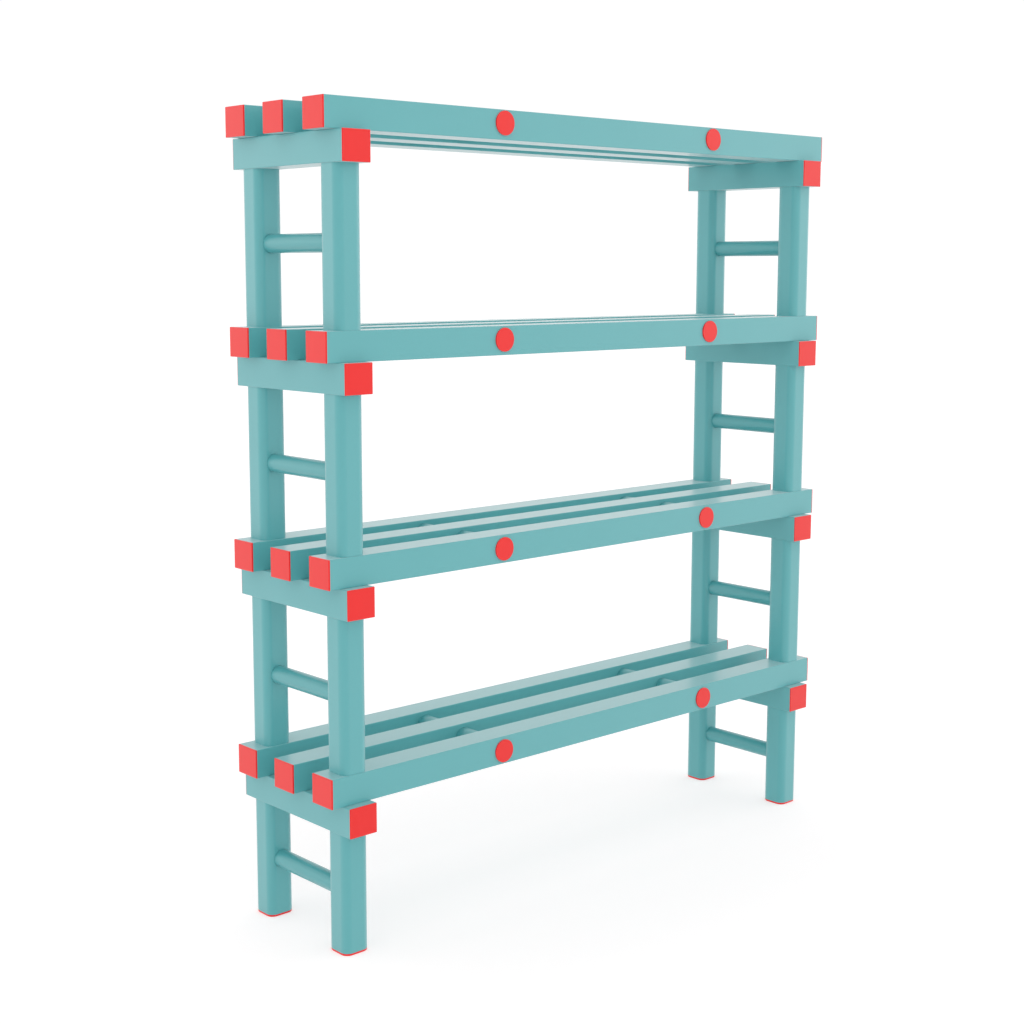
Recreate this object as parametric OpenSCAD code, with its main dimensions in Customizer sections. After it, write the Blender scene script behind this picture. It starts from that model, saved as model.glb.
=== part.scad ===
// Slatted shelving rack of plugged plastic tubes: four tiers on four corner posts.
// The rack stands on the floor at z = 0, with its width along X and its front at -Y.
// The origin is on the floor under the middle of the rack.

/* [Rack] */
// Overall width, over the caps on the slat ends
rack_w = 1250; // [900:5:1600]
// Height of the lowest tier's top face above the floor
first_tier_top = 308.7; // [270:0.1:420]
// Height from one tier's top face to the next
tier_pitch = 361.2; // [290:0.1:460]
// Number of tiers
tiers = 4; // [1:1:4]

/* [Slats] */
// Width of a slat, front to back
slat_w = 54.4; // [52:0.1:70]
// Height of a slat
slat_h = 50; // [46:0.1:60]
// Wall of the slat tube
slat_wall = 3; // [2:0.1:4]
// Clear gap between neighbouring slats
slat_gap = 54.9; // [20:0.1:90]

/* [Crossbars] */
// Width of a crossbar, along the rack
crossbar_w = 55; // [52:0.1:70]
// Height of a crossbar
crossbar_h = 50.6; // [40:0.1:60]
// Wall of the crossbar tube
crossbar_wall = 3; // [2:0.1:4]
// Distance from a slat's end to the middle of the crossbar
crossbar_inset = 51.6; // [45:0.1:150]
// How far a crossbar's end stands out past the outer slat
crossbar_overhang = 16.6; // [12:0.1:50]

/* [Posts] */
// Width of a post, the same both ways
post_w = 50.4; // [42:0.1:52]
// Outer corner radius of a post
post_corner_r = 13.8; // [6:0.1:18]
// Wall of the post tube
post_wall = 3; // [2:0.1:4.5]

/* [Rungs] */
// Diameter of a rung
rung_d = 31.4; // [20:0.1:36]
// Wall of the rung tube
rung_wall = 3; // [2:0.1:5]
// How far each bay's rungs lie above the middle of the bay, from the lowest bay up
rung_rise = [0, -4.9, 1.3, 7.6];

/* [Dowels] */
// Diameter of the dowels that tie the slats of a tier together
dowel_d = 37.6; // [22:0.1:39]
// Wall of the dowel tube
dowel_wall = 6.5; // [3:0.1:8]
// Distance of the left dowels from the middle of the rack
left_dowel_x = 249; // [100:0.1:360]
// Distance of the right dowels from the middle of the rack
right_dowel_x = 285.3; // [100:0.1:360]
// How far each tier's dowels lie above the middle of its slats, from the lowest tier up
dowel_rise = [-1.2, 0.1, 1.5, 2.8];

/* [Dowel plugs] */
// Diameter of a plug's round head
plug_head_d = 41; // [34:0.1:48]
// Thickness of a plug's head
plug_head_t = 2.4; // [1:0.1:5]
// Length of a plug's neck inside its dowel
plug_grip = 24; // [10:1:50]

/* [Caps] */
// Thickness of a slat cap's plate
slat_cap_t = 2.5; // [1.5:0.1:5]
// Thickness of a crossbar cap's plate
crossbar_cap_t = 1.5; // [1:0.1:5]
// Thickness of a foot cap's plate
foot_cap_t = 3.7; // [2:0.1:8]
// Depth of the slat and crossbar caps' inserts
insert_depth = 12; // [6:0.5:15]
// Height of the foot caps' inserts
foot_insert_h = 20; // [10:1:35]
// Wall of the caps' hollow inserts
insert_wall = 2.5; // [1.5:0.1:4]

/* [Joints] */
// Length of a spigot inside each post that it joins
spigot_grip = 45; // [20:1:50]
// Wall of a spigot
spigot_wall = 3; // [2:0.1:5]
// Clearance between a plugged piece and its seat, on each side
fit = 0.2; // [0.1:0.05:0.3]
// Rounding of the edges of slats, crossbars and their caps
edge_r = 1.2; // [0.5:0.1:2]

/* [Hidden] */
TIERS = [1:tiers];
ROWS = ["front", "middle", "back"];
ENDS = ["left", "right"];
FACES = ["front", "back"];

TEAL = "#75B8BC";
RED = "#F54E4B";
$fn = 64;

// Names of the pieces that have a node of their own
function slat_name(tier, row) = str("tier_", tier, "_", row, "_slat");
function crossbar_name(tier, end) = str("tier_", tier, "_", end, "_crossbar");
function dowel_name(tier, end) = str("tier_", tier, "_", end, "_dowel");
function post_name(bay, end, face) = str("bay_", bay, "_", end, "_", face, "_post");
function rung_name(bay, end) = str("bay_", bay, "_", end, "_rung");
function slat_caps_name(end) = str(end, "_slat_caps");
function crossbar_caps_name(face) = str(face, "_crossbar_caps");
function dowel_plugs_name(face) = str(face, "_dowel_plugs");

// Left and front are the negative sides, and the middle row lies between them
function side(place) = place == "left" || place == "front" ? -1 : place == "middle" ? 0 : 1;

// Places across the rack
slat_pitch = slat_w + slat_gap;
slat_face_y = slat_pitch + slat_w / 2;
crossbar_end_y = slat_face_y + crossbar_overhang;
post_x = rack_w / 2 - crossbar_inset;
function row_y(row) = side(row) * slat_pitch;
function end_x(end) = side(end) * post_x;
function dowel_x(end) = end == "left" ? -left_dowel_x : right_dowel_x;

// Heights, where a bay is the space below the tier of the same number
function tier_top(tier) = first_tier_top + (tier - 1) * tier_pitch;
function slat_z(tier) = tier_top(tier) - slat_h / 2;
function crossbar_z(tier) = tier_top(tier) - slat_h - crossbar_h / 2;
function bay_floor(bay) = bay == 1 ? 0 : tier_top(bay - 1);
function bay_roof(bay) = tier_top(bay) - slat_h - crossbar_h;
function post_foot(bay) = bay == 1 ? foot_cap_t : bay_floor(bay);
function rung_z(bay) = (bay_floor(bay) + bay_roof(bay)) / 2 + rung_rise[bay - 1];
function dowel_z(tier) = slat_z(tier) + dowel_rise[tier - 1];

// Seats that several pieces share
post_cavity_w = post_w - 2 * post_wall;
spigot_seat_r = post_cavity_w / 2;
spigot_r = spigot_seat_r - fit;
rung_seat_r = rung_d / 2 + fit;
rung_end_y = slat_pitch + post_cavity_w / 2 - fit;
dowel_seat_r = dowel_d / 2 + fit;
dowel_bore_r = dowel_d / 2 - dowel_wall;
plug_neck_r = dowel_bore_r - fit;

// Outline of a tube or plate with rounded corners
module rounded_outline(w, h, r) {
    square([w - 2 * r, h], center = true);
    square([w, h - 2 * r], center = true);
    for (x = [-1, 1], y = [-1, 1])
        translate([x * (w / 2 - r), y * (h / 2 - r)])
            circle(r);
}

// Section of a rectangular tube
module tube_section(w, h, wall) {
    difference() {
        rounded_outline(w, h, edge_r);
        square([w - 2 * wall, h - 2 * wall], center = true);
    }
}

// Turns a section so that its extrusion runs along the rack, with its height along Z
module along_x() {
    rotate([90, 0, 90])
        children();
}

// Turns a section so that its extrusion runs to the front, with its height along Z
module along_y() {
    rotate([90, 0, 0])
        children();
}

// Plate on a hollow insert, facing +Z with the plate's back at z = 0
module tube_cap(w, h, wall, plate_t) {
    insert_w = w - 2 * (wall + fit);
    insert_h = h - 2 * (wall + fit);
    linear_extrude(plate_t)
        rounded_outline(w, h, edge_r);
    translate([0, 0, -insert_depth])
        linear_extrude(insert_depth)
            difference() {
                square([insert_w, insert_h], center = true);
                square([insert_w - 2 * insert_wall, insert_h - 2 * insert_wall], center = true);
            }
}

// Slat, bored for the dowels, and an outer one for the spigots too
module slat(tier, row) {
    color(TEAL)
    difference() {
        translate([0, row_y(row), slat_z(tier)])
            along_x()
                linear_extrude(rack_w - 2 * slat_cap_t, center = true)
                    tube_section(slat_w, slat_h, slat_wall);
        for (end = ENDS)
            translate([dowel_x(end), row_y(row), dowel_z(tier)])
                along_y()
                    cylinder(h = 2 * slat_w, r = dowel_seat_r, center = true);
        if (row != "middle")
            for (end = ENDS)
                translate([end_x(end), row_y(row), 0])
                    spigot_hole(tier);
    }
}

// Crossbar, bored for its two spigots
module crossbar(tier, end) {
    color(TEAL)
    difference() {
        translate([end_x(end), 0, crossbar_z(tier)])
            along_y()
                linear_extrude(2 * (crossbar_end_y - crossbar_cap_t), center = true)
                    tube_section(crossbar_w, crossbar_h, crossbar_wall);
        for (face = FACES)
            translate([end_x(end), row_y(face), 0])
                spigot_hole(tier);
    }
}

// Hole that a tier's spigot stands in, blind under the top tier's upper face
module spigot_hole(tier) {
    top = tier == tiers ? tier_top(tier) - slat_h / 2 : tier_top(tier) + slat_h;
    translate([0, 0, bay_roof(tier) - crossbar_h])
        cylinder(h = top - bay_roof(tier) + crossbar_h, r = spigot_seat_r);
}

// Post segment of a bay, bored for its rung on the side that faces the other post
module post(bay, end, face) {
    color(TEAL)
    translate([end_x(end), row_y(face), 0])
    difference() {
        translate([0, 0, post_foot(bay)])
            linear_extrude(bay_roof(bay) - post_foot(bay))
                difference() {
                    rounded_outline(post_w, post_w, post_corner_r);
                    rounded_outline(post_cavity_w, post_cavity_w, post_corner_r - post_wall);
                }
        translate([0, -side(face) * post_w / 2, rung_z(bay)])
            along_y()
                cylinder(h = post_w, r = rung_seat_r, center = true);
    }
}

// Rung tube that runs through both posts' inner walls to their outer walls
module rung(bay, end) {
    color(TEAL)
    translate([end_x(end), 0, rung_z(bay)])
        along_y()
            round_tube(2 * rung_end_y, rung_d / 2, rung_d / 2 - rung_wall);
}

// Dowel tube through a tier's three slats, flush with the outer faces
module dowel(tier, end) {
    color(TEAL)
    translate([dowel_x(end), 0, dowel_z(tier)])
        along_y()
            round_tube(2 * slat_face_y, dowel_d / 2, dowel_bore_r);
}

// Round tube centred on the origin, along Z
module round_tube(length, outer_r, bore_r) {
    difference() {
        cylinder(h = length, r = outer_r, center = true);
        cylinder(h = length + 2 * bore_r, r = bore_r, center = true);
    }
}

// Caps on one end of all slats
module slat_caps(end) {
    color(RED)
    for (tier = TIERS, row = ROWS)
        translate([side(end) * (rack_w / 2 - slat_cap_t), row_y(row), slat_z(tier)])
            mirror([end == "left" ? 1 : 0, 0, 0])
                along_x()
                    tube_cap(slat_w, slat_h, slat_wall, slat_cap_t);
}

// Caps on the front or back ends of all crossbars
module crossbar_caps(face) {
    color(RED)
    for (tier = TIERS, end = ENDS)
        translate([end_x(end), side(face) * (crossbar_end_y - crossbar_cap_t), crossbar_z(tier)])
            mirror([0, face == "back" ? 1 : 0, 0])
                along_y()
                    tube_cap(crossbar_w, crossbar_h, crossbar_wall, crossbar_cap_t);
}

// Plugs in the front or back ends of all dowels, whose heads rest on the slats
module dowel_plugs(face) {
    color(RED)
    for (tier = TIERS, end = ENDS)
        translate([dowel_x(end), side(face) * slat_face_y, dowel_z(tier)])
            mirror([0, face == "back" ? 1 : 0, 0])
                along_y()
                    union() {
                        cylinder(h = plug_head_t, r = plug_head_d / 2);
                        translate([0, 0, -plug_grip])
                            cylinder(h = plug_grip, r = plug_neck_r);
                    }
}

// Spigots at every corner of every tier, the top ones ending under the slats' upper walls
module joining_spigots() {
    color(TEAL)
    for (tier = TIERS, end = ENDS, face = FACES) {
        low = bay_roof(tier) - spigot_grip;
        high = tier == tiers ? tier_top(tier) - slat_wall - fit : tier_top(tier) + spigot_grip;
        translate([end_x(end), row_y(face), (low + high) / 2])
            round_tube(high - low, spigot_r, spigot_r - spigot_wall);
    }
}

// Caps under the four posts
module foot_caps() {
    color(RED)
    for (end = ENDS, face = FACES)
        translate([end_x(end), row_y(face), 0]) {
            linear_extrude(foot_cap_t)
                rounded_outline(post_w, post_w, post_corner_r);
            translate([0, 0, foot_cap_t])
                linear_extrude(foot_insert_h)
                    difference() {
                        circle(spigot_r);
                        circle(spigot_r - insert_wall);
                    }
        }
}

for (tier = TIERS, row = ROWS) {
    slat(tier, row);
}
for (tier = TIERS, end = ENDS) {
    crossbar(tier, end);
    dowel(tier, end);
    rung(tier, end);
}
for (bay = TIERS, end = ENDS, face = FACES) {
    post(bay, end, face);
}
for (end = ENDS) {
    slat_caps(end);
}
for (face = FACES) {
    crossbar_caps(face);
    dowel_plugs(face);
}
joining_spigots();
foot_caps();
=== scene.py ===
"""Looks of a slatted shelving rack: blue-green plastic tubes with red caps, plugs and feet."""
import math

import bmesh
import bpy
from mathutils import Matrix, Vector


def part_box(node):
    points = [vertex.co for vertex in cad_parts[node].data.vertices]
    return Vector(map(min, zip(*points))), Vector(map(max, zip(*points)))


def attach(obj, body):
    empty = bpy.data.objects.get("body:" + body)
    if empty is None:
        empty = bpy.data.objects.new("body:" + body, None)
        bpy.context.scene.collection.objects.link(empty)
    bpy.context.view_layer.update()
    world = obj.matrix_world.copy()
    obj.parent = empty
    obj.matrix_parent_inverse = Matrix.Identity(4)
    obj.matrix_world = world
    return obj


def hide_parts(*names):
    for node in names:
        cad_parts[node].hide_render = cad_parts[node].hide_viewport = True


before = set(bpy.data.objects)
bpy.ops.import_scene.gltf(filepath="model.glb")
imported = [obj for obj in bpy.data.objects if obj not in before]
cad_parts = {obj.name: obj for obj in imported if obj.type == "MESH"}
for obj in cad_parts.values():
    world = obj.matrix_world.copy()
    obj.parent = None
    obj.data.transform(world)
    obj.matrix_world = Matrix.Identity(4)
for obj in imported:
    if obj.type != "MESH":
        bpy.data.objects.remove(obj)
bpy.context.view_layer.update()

MM = 0.001
# Points nearer to each other than this are one point
HAIR = 0.001 * MM

TIERS = (1, 2, 3, 4)
ROWS = ("front", "middle", "back")
ENDS = ("left", "right")
FACES = ("front", "back")
OUTWARD = {
    "left": Vector((-1, 0, 0)),
    "right": Vector((1, 0, 0)),
    "front": Vector((0, -1, 0)),
    "back": Vector((0, 1, 0)),
}

# Sizes of the red pieces that their nodes' boxes don't give
INSERT_INSET = 3.2 * MM  # the tube's wall and 0.2 mm of play
INSERT_DEPTH = 12 * MM
INSERT_WALL = 2.5 * MM
HEAD_RADIUS = 20.5 * MM
NECK_RADIUS = 12.1 * MM
NECK_LENGTH = 24 * MM
POST_CORNER = 13.8 * MM
FOOT_INSERT_RADIUS = 22.0 * MM
FOOT_INSERT_HEIGHT = 20 * MM

# Rounding of their rims
SLAT_CAP_RIM = 1.2 * MM
CROSSBAR_CAP_RIM = 1.2 * MM
HEAD_RIM = 0.4 * MM
FOOT_RIM = 1.2 * MM

# Faces along a rim and a post's corner, and round a plug, and the steepest edge that looks smooth
RIM_STEPS = 4
CORNER_STEPS = 10
TURN_STEPS = 64
SMOOTH_ANGLE = math.radians(40)

# Tints of the plastics, and the sheen of the scuffs on the tubes. The round tubes get a darker
# copy of the flat tubes' tint, painted shade for the shading of their round sides, and are less
# scuffed
FLAT_TUBE_TINTS, FLAT_TUBE_SCUFFS = ("#5DB5B9", "#60B8BC"), 0.48
ROUND_TUBE_SHADED_TINTS, ROUND_TUBE_SCUFFS = ("#57AEB2", "#5AB1B5"), 0.06
RED_TINTS = ("#FD0905", "#FF100B")

# Patterns, in waves to the metre
DIE_LINES_ACROSS = 650.0  # 1.5 mm apart, coarser than real ones so that they show
DIE_LINES_ALONG = 3.0  # each some 300 mm long
PIGMENT_PATCHES = 8.0  # about 120 mm wide
MOULD_GRAIN = 1400.0  # 0.7 mm wide, coarser than the real 0.1 mm so that it shows
MOULD_CLOUDS = 45.0  # about 20 mm wide

# Roughness between the smoothest and the dullest spots, and the strength and depth of the relief
DIE_LINE_ROUGHNESS, DIE_LINE_RELIEF = (0.33, 0.39), 0.12
GRAIN_ROUGHNESS, GRAIN_RELIEF = (0.32, 0.40), 0.15
RELIEF_DEPTH = 0.02 * MM

# A Mix node's two colours and their mixture, which share their names with its other sockets
MIX_FIRST, MIX_SECOND, MIX_RESULT = 6, 7, 2


def shade_from_hex(text):
    """The linear colour of an sRGB hex value such as "#5DB5B9"."""
    def linear(value):
        return value / 12.92 if value <= 0.04045 else ((value + 0.055) / 1.055) ** 2.4
    return tuple(linear(int(text[i:i + 2], 16) / 255) for i in (1, 3, 5)) + (1.0,)


def cleared_tree(owner):
    """The node tree of a new material or world, with no node on it."""
    owner.use_nodes = True
    owner.node_tree.nodes.clear()
    return owner.node_tree


def add_node(tree, kind, links=None, **settings):
    """Adds a node with its settings. links gives its inputs their sockets or values."""
    made = tree.nodes.new(kind)
    for name, value in settings.items():
        setattr(made, name, value)
    for name, value in (links or {}).items():
        if isinstance(value, bpy.types.NodeSocket):
            tree.links.new(value, made.inputs[name])
        else:
            made.inputs[name].default_value = value
    return made


def new_material(name, surface):
    """A material whose shader has the values of surface on its own sockets."""
    material = bpy.data.materials.new(name)
    tree = cleared_tree(material)
    shader = add_node(tree, "ShaderNodeBsdfPrincipled", surface)
    add_node(tree, "ShaderNodeOutputMaterial", {"Surface": shader.outputs["BSDF"]})
    return material, tree, shader


def vary(tree, shader, patches, tints, grain, roughness, relief):
    """Lets broad patches mix a shader's two tints, and a fine grain set its gloss and relief."""
    first, second = (shade_from_hex(tint) for tint in tints)
    tint = add_node(
        tree, "ShaderNodeMix",
        {"Factor": patches, MIX_FIRST: first, MIX_SECOND: second}, data_type="RGBA")
    gloss = add_node(
        tree, "ShaderNodeMapRange",
        {"Value": grain, "To Min": roughness[0], "To Max": roughness[1]})
    bump = add_node(
        tree, "ShaderNodeBump",
        {"Height": grain, "Strength": relief, "Distance": RELIEF_DEPTH})
    tree.links.new(tint.outputs[MIX_RESULT], shader.inputs["Base Color"])
    tree.links.new(gloss.outputs["Result"], shader.inputs["Roughness"])
    tree.links.new(bump.outputs["Normal"], shader.inputs["Normal"])


def extruded_polypropylene(name, axis, tints, scuffs):
    """Satin polypropylene tube along an axis, with the die's faint lines and uneven pigment."""
    material, tree, shader = new_material("extruded_polypropylene_" + name, {
        "IOR": 1.5,
        # The outer skin, drawn smooth by the die, mirrors what stands on the tube seen along it
        "Coat Weight": 0.42,
        "Coat Roughness": 0.2,
        # Fine scuffs on all sides scatter light towards an eye that looks along the tube
        "Sheen Weight": scuffs,
        "Sheen Roughness": 0.5,
    })
    place = add_node(tree, "ShaderNodeTexCoord").outputs["Object"]
    patches = add_node(
        tree, "ShaderNodeTexNoise",
        {"Vector": place, "Scale": PIGMENT_PATCHES, "Detail": 2.0})
    stretch = [DIE_LINES_ALONG if letter == axis else DIE_LINES_ACROSS for letter in "xyz"]
    stretched = add_node(tree, "ShaderNodeMapping", {"Vector": place, "Scale": stretch})
    lines = add_node(
        tree, "ShaderNodeTexNoise",
        {"Vector": stretched.outputs["Vector"], "Scale": 1.0, "Detail": 2.0})
    vary(tree, shader, patches.outputs["Fac"], tints,
         lines.outputs["Fac"], DIE_LINE_ROUGHNESS, DIE_LINE_RELIEF)
    return material


def moulded_polypropylene():
    """Satin red polypropylene from a spark-eroded mould, whose fine grain breaks up the shine."""
    material, tree, shader = new_material("moulded_red_polypropylene", {
        "IOR": 1.46,
        "Sheen Weight": 0.4,
        "Sheen Roughness": 0.5,
    })
    place = add_node(tree, "ShaderNodeTexCoord").outputs["Object"]
    clouds = add_node(
        tree, "ShaderNodeTexNoise",
        {"Vector": place, "Scale": MOULD_CLOUDS, "Detail": 1.0})
    grain = add_node(
        tree, "ShaderNodeTexNoise",
        {"Vector": place, "Scale": MOULD_GRAIN, "Detail": 2.0})
    vary(tree, shader, clouds.outputs["Fac"], RED_TINTS,
         grain.outputs["Fac"], GRAIN_ROUGHNESS, GRAIN_RELIEF)
    return material


flat_tube = {
    axis: extruded_polypropylene("flat_tube_" + axis, axis, FLAT_TUBE_TINTS, FLAT_TUBE_SCUFFS)
    for axis in "xyz"
}
# The round tubes take the darker tints, painted shade for the shading of their round sides
round_tube = extruded_polypropylene("round_tube", "y", ROUND_TUBE_SHADED_TINTS, ROUND_TUBE_SCUFFS)
red = moulded_polypropylene()


def dress(node, finish):
    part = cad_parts[node]
    part.data.materials.clear()
    part.data.materials.append(finish)


def dress_tubes():
    for tier in TIERS:
        for row in ROWS:
            dress(f"tier_{tier}_{row}_slat", flat_tube["x"])
        for end in ENDS:
            dress(f"tier_{tier}_{end}_crossbar", flat_tube["y"])
            dress(f"tier_{tier}_{end}_dowel", round_tube)
            dress(f"bay_{tier}_{end}_rung", round_tube)
            for face in FACES:
                dress(f"bay_{tier}_{end}_{face}_post", flat_tube["z"])
    dress("joining_spigots", flat_tube["z"])


def flat_plate(width, height, thickness):
    """A bmesh with a plate that lies on z = 0, its edges still sharp."""
    shape = bmesh.new()
    lift = Matrix.Translation((0, 0, thickness / 2))
    size = Matrix.Diagonal((width, height, thickness, 1))
    bmesh.ops.create_cube(shape, size=1.0, matrix=lift @ size)
    return shape


def sink(shape, face, thickness, depth):
    """Insets a face by a thickness and pushes its inner part by a depth. Returns that part."""
    bmesh.ops.inset_region(shape, faces=[face], thickness=thickness, use_even_offset=True)
    inner = bmesh.ops.extrude_discrete_faces(shape, faces=[face])["faces"][0]
    bmesh.ops.translate(shape, verts=inner.verts, vec=(0, 0, depth))
    return inner


def round_edges(shape, edges, radius, steps):
    bmesh.ops.bevel(shape, geom=edges, offset=radius, segments=steps, profile=0.5,
                    affect="EDGES", material=-1)


def turn_outline(shape, *outline):
    """Turns an outline, given as radius and height, about the Z axis."""
    verts = [shape.verts.new((radius, 0, z)) for radius, z in outline]
    edges = [shape.edges.new(pair) for pair in zip(verts, verts[1:])]
    bmesh.ops.spin(shape, geom=verts + edges, cent=(0, 0, 0), axis=(0, 0, 1), dvec=(0, 0, 0),
                   angle=math.tau, steps=TURN_STEPS, use_merge=True, use_duplicate=False)
    bmesh.ops.remove_doubles(shape, verts=shape.verts, dist=HAIR)


def end_cap(width, height, thickness, rim):
    """A tube's cap facing +Z, a plate with rounded rims on a hollow insert for the tube."""
    shape = flat_plate(width, height, thickness)
    back = min(shape.faces, key=lambda face: face.calc_center_median().z)
    insert = sink(shape, back, INSERT_INSET, -INSERT_DEPTH)
    sink(shape, insert, INSERT_WALL, INSERT_DEPTH)
    front = [edge for edge in shape.edges
             if max(vert.co.z for vert in edge.verts) > thickness / 2]
    round_edges(shape, front, rim, RIM_STEPS)
    return shape


def dowel_plug(head):
    """A dowel's plug facing +Z, a round head on a neck that goes into the dowel."""
    shape = bmesh.new()
    turn_outline(shape, (0, -NECK_LENGTH), (NECK_RADIUS, -NECK_LENGTH), (NECK_RADIUS, 0),
                 (HEAD_RADIUS, 0), (HEAD_RADIUS, head), (0, head))
    rim = [edge for edge in shape.edges
           if all(vert.co.z > head - HAIR and vert.co.xy.length > HEAD_RADIUS - HAIR
                  for vert in edge.verts)]
    round_edges(shape, rim, HEAD_RIM, RIM_STEPS)
    return shape


def foot_cap(width, thickness):
    """A post's foot cap on the floor, a plate with the post's corners under a round insert."""
    shape = flat_plate(width, width, thickness)
    upright = [edge for edge in shape.edges
               if abs(edge.verts[0].co.z - edge.verts[1].co.z) > thickness / 2]
    round_edges(shape, upright, POST_CORNER, CORNER_STEPS)
    sole = [edge for edge in shape.edges if all(vert.co.z < thickness / 2 for vert in edge.verts)]
    round_edges(shape, sole, FOOT_RIM, RIM_STEPS)
    outer, inner = FOOT_INSERT_RADIUS, FOOT_INSERT_RADIUS - INSERT_WALL
    top = thickness + FOOT_INSERT_HEIGHT
    turn_outline(shape, (inner, thickness), (outer, thickness), (outer, top), (inner, top),
                 (inner, thickness))
    return shape


def mesh_of(shape, name):
    """A mesh with the shape of a bmesh, which is used up."""
    mesh = bpy.data.meshes.new(name)
    shape.to_mesh(mesh)
    shape.free()
    return mesh


def add_to_scene(name, data):
    made = bpy.data.objects.new(name, data)
    bpy.context.scene.collection.objects.link(made)
    return made


def copies(pattern, places):
    """A bmesh with a copy of a pattern at each of the places. The pattern is used up."""
    mesh = mesh_of(pattern, "pattern")
    shape = bmesh.new()
    for place in places:
        known = len(shape.verts)
        shape.from_mesh(mesh)
        shape.verts.ensure_lookup_table()
        bmesh.ops.transform(shape, matrix=place, verts=shape.verts[known:])
    bpy.data.meshes.remove(mesh)
    return shape


def finish_piece(shape, name, replaced):
    """Turns a bmesh into a red piece that stands for a CAD node."""
    bmesh.ops.recalc_face_normals(shape, faces=shape.faces)
    mesh = mesh_of(shape, name)
    mesh.materials.append(red)
    mesh.shade_smooth()
    mesh.set_sharp_from_angle(angle=SMOOTH_ANGLE)
    piece = add_to_scene(name, mesh)
    # Keeps the flat faces flat to the light, so that only the rims shade round
    piece.modifiers.new("flat_faces", "WEIGHTED_NORMAL").keep_sharp = True
    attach(piece, "root")
    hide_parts(replaced)


def middle(node):
    low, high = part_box(node)
    return (Vector(low) + Vector(high)) / 2


def facing(place, side):
    """A place turned so that its +Z looks out to a side of the rack and its +Y stays up."""
    return Matrix.Translation(place) @ OUTWARD[side].to_track_quat("Z", "Y").to_matrix().to_4x4()


def end_of(node, side):
    """The middle of a tube's end that looks out to a side of the rack."""
    low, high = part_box(node)
    half = (Vector(high) - Vector(low)) / 2
    return middle(node) + OUTWARD[side] * half


def cap_the_slats():
    low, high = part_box("tier_1_front_slat")
    thickness = low[0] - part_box("left_slat_caps")[0][0]
    for end in ENDS:
        places = [facing(end_of(f"tier_{tier}_{row}_slat", end), end)
                  for tier in TIERS for row in ROWS]
        cap = end_cap(high[1] - low[1], high[2] - low[2], thickness, SLAT_CAP_RIM)
        finish_piece(copies(cap, places), f"{end}_slat_caps_rounded", f"{end}_slat_caps")


def cap_the_crossbars():
    low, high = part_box("tier_1_left_crossbar")
    thickness = low[1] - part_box("front_crossbar_caps")[0][1]
    for face in FACES:
        places = [facing(end_of(f"tier_{tier}_{end}_crossbar", face), face)
                  for tier in TIERS for end in ENDS]
        cap = end_cap(high[0] - low[0], high[2] - low[2], thickness, CROSSBAR_CAP_RIM)
        finish_piece(copies(cap, places), f"{face}_crossbar_caps_rounded", f"{face}_crossbar_caps")


def plug_the_dowels():
    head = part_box("tier_1_left_dowel")[0][1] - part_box("front_dowel_plugs")[0][1]
    for face in FACES:
        places = [facing(end_of(f"tier_{tier}_{end}_dowel", face), face)
                  for tier in TIERS for end in ENDS]
        plugs = copies(dowel_plug(head), places)
        finish_piece(plugs, f"{face}_dowel_plugs_rounded", f"{face}_dowel_plugs")


def cap_the_feet():
    low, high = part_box("bay_1_left_front_post")
    places = []
    for end in ENDS:
        for face in FACES:
            x, y, _ = middle(f"bay_1_{end}_{face}_post")
            places.append(Matrix.Translation((x, y, 0)))
    feet = copies(foot_cap(high[0] - low[0], low[2]), places)
    finish_piece(feet, "foot_caps_rounded", "foot_caps")


dress_tubes()
cap_the_slats()
cap_the_crossbars()
plug_the_dowels()
cap_the_feet()


# The camera stands front left of the rack, a little above the third tier
CAMERA_PLACE = (-2.1147, -2.1844, 1.1297)
CAMERA_TURN = (math.radians(82.279), 0.0, math.radians(-41.688))
LENS_MM, SENSOR_MM = 56.79, 36.0
SHIFT = (0.02521, -0.02485)

# The floor reaches this far to each side. Light meets its pale colour, and the eye sees a grey
# that takes the rack's shadow, with a glow that brings it up to white. The glow is warm, to take
# out the green that the rack throws into its shadow and the photo doesn't show
FLOOR_REACH = 30.0
FLOOR_PALE = (0.9, 0.9, 0.9, 1.0)
FLOOR_GREY = (0.65, 0.70, 0.70, 1.0)
FLOOR_GLOW, FLOOR_GLOW_STRENGTH = (1.0, 0.865, 0.865, 1.0), 0.54

# Light of the room, the share of it that is missing straight overhead, and the ways to the soft
# lights with what each adds. The higher the focus, the narrower they are
WHITE = (1.0, 1.0, 1.0, 1.0)
ROOM_LIGHT = 1.055
OVERHEAD_FADE = 0.26
SOFT_LIGHTS = (((-0.5, 0.866, 0.0), 0.6), ((0.94, -0.342, 0.0), 1.0))
SOFT_LIGHT_FOCUS = 12.0


def set_camera():
    data = bpy.data.cameras.new("camera")
    data.lens = LENS_MM
    data.sensor_width = SENSOR_MM
    data.shift_x, data.shift_y = SHIFT
    camera = add_to_scene("camera", data)
    camera.location = CAMERA_PLACE
    camera.rotation_euler = CAMERA_TURN
    bpy.context.scene.camera = camera


def seen_rays(tree):
    """1 for rays from the eye, also by a mirroring or clear surface, and 0 for other light."""
    rays = add_node(tree, "ShaderNodeLightPath").outputs
    seen = rays["Is Camera Ray"]
    for kind in ("Is Glossy Ray", "Is Transmission Ray"):
        either = add_node(tree, "ShaderNodeMath", {0: seen, 1: rays[kind]}, operation="MAXIMUM")
        seen = either.outputs[0]
    return seen


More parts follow.
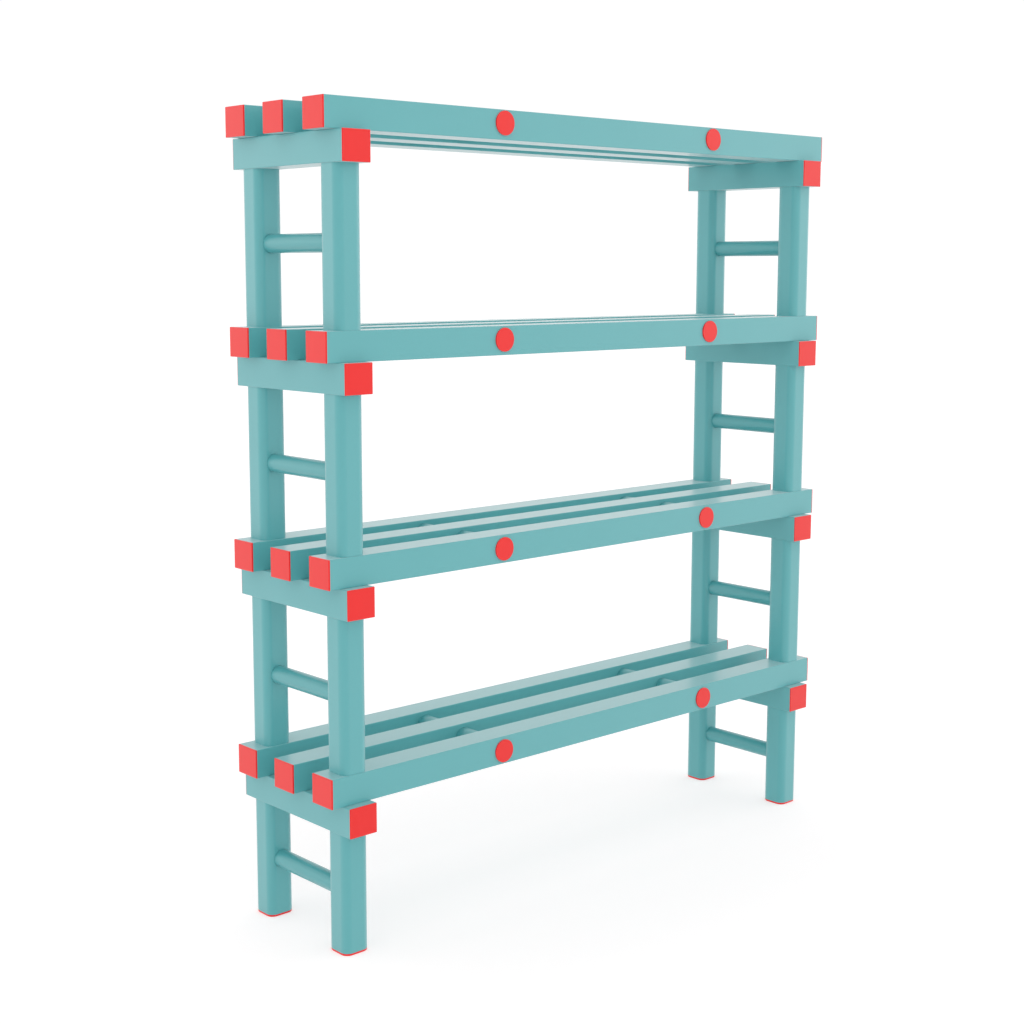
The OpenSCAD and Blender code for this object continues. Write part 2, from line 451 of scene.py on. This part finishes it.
def lay_floor():
    """A pale floor for the light, which the eye sees as white with the rack's faint shadow."""
    shape = bmesh.new()
    bmesh.ops.create_grid(shape, x_segments=1, y_segments=1, size=FLOOR_REACH)
    floor = add_to_scene("floor", mesh_of(shape, "floor"))
    material = bpy.data.materials.new("studio_floor")
    tree = cleared_tree(material)
    pale = add_node(tree, "ShaderNodeBsdfDiffuse", {"Color": FLOOR_PALE})
    grey = add_node(tree, "ShaderNodeBsdfDiffuse", {"Color": FLOOR_GREY})
    glow = add_node(tree, "ShaderNodeEmission",
                    {"Color": FLOOR_GLOW, "Strength": FLOOR_GLOW_STRENGTH})
    white = add_node(tree, "ShaderNodeAddShader", {0: grey.outputs[0], 1: glow.outputs[0]})
    finish = add_node(tree, "ShaderNodeMixShader",
                      {0: seen_rays(tree), 1: pale.outputs[0], 2: white.outputs[0]})
    add_node(tree, "ShaderNodeOutputMaterial", {"Surface": finish.outputs[0]})
    floor.data.materials.append(material)


def light_the_room():
    """A white room with broad soft lights at the back left and the right."""
    world = bpy.data.worlds.new("studio")
    tree = cleared_tree(world)
    way = add_node(tree, "ShaderNodeTexCoord").outputs["Generated"]
    level = ROOM_LIGHT
    for direction, strength in SOFT_LIGHTS:
        towards = add_node(tree, "ShaderNodeVectorMath", {0: way, 1: direction},
                           operation="DOT_PRODUCT").outputs["Value"]
        ahead = add_node(tree, "ShaderNodeMath", {0: towards, 1: 0.0}, operation="MAXIMUM")
        lobe = add_node(tree, "ShaderNodeMath", {0: ahead.outputs[0], 1: SOFT_LIGHT_FOCUS},
                        operation="POWER")
        brighter = add_node(tree, "ShaderNodeMath", {0: lobe.outputs[0], 1: strength, 2: level},
                            operation="MULTIPLY_ADD")
        level = brighter.outputs[0]
    height = add_node(tree, "ShaderNodeSeparateXYZ", {"Vector": way}).outputs["Z"]
    fade = add_node(tree, "ShaderNodeMath", {0: height, 1: -OVERHEAD_FADE, 2: 1.0},
                    operation="MULTIPLY_ADD")
    light = add_node(tree, "ShaderNodeMath", {0: level, 1: fade.outputs[0]}, operation="MULTIPLY")
    room = add_node(tree, "ShaderNodeBackground", {"Color": WHITE, "Strength": light.outputs[0]})
    add_node(tree, "ShaderNodeOutputWorld", {"Surface": room.outputs[0]})
    bpy.context.scene.world = world


set_camera()
lay_floor()
light_the_room()
bpy.context.scene.view_settings.view_transform = "Standard"
